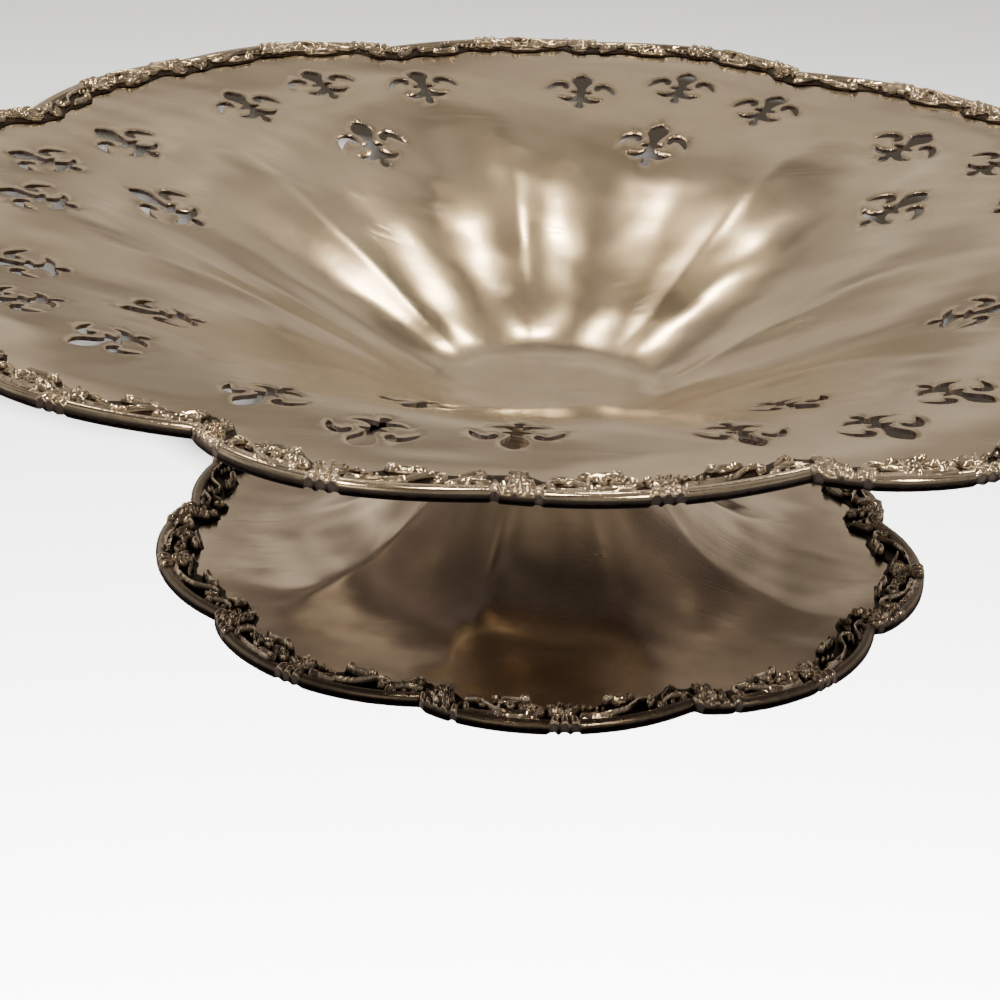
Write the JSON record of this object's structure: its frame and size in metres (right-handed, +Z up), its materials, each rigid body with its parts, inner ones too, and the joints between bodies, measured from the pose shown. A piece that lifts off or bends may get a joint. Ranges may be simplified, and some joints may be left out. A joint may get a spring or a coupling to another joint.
{
  "type": "footed compote bowl",
  "caption": "Low footed silver centrepiece bowl with a fluted, pierced flange and struck scroll borders on the lobed rim and foot.",
  "frame": {"origin": "on the table under the centre of the foot", "axes": "+Z up along the bowl's axis; the picture looks along +Y"},
  "size_m": [0.2992, 0.2992, 0.082],
  "materials": {
    "polished_silver": "polished, with fine scratches and a warm tarnish",
    "struck_silver": "struck relief, bright on top and dark brown in the recesses"
  },
  "bodies": {
    "root": {"bowl_shell": "polished_silver", "rim_border_1": "struck_silver", "rim_border_2": "struck_silver", "rim_border_3": "struck_silver", "rim_border_4": "struck_silver", "rim_border_5": "struck_silver", "rim_border_6": "struck_silver", "rim_border_7": "struck_silver", "rim_border_8": "struck_silver", "rim_border_9": "struck_silver", "rim_border_10": "struck_silver", "rim_border_11": "struck_silver", "rim_border_12": "struck_silver", "rim_border_13": "struck_silver", "rim_border_14": "struck_silver", "rim_border_15": "struck_silver", "rim_border_16": "struck_silver", "neck_ring": "polished_silver", "foot_shell": "polished_silver", "foot_border_1": "struck_silver", "foot_border_2": "struck_silver", "foot_border_3": "struck_silver", "foot_border_4": "struck_silver", "foot_border_5": "struck_silver", "foot_border_6": "struck_silver", "foot_border_7": "struck_silver", "foot_border_8": "struck_silver", "foot_border_9": "struck_silver"}
  },
  "joints": []
}
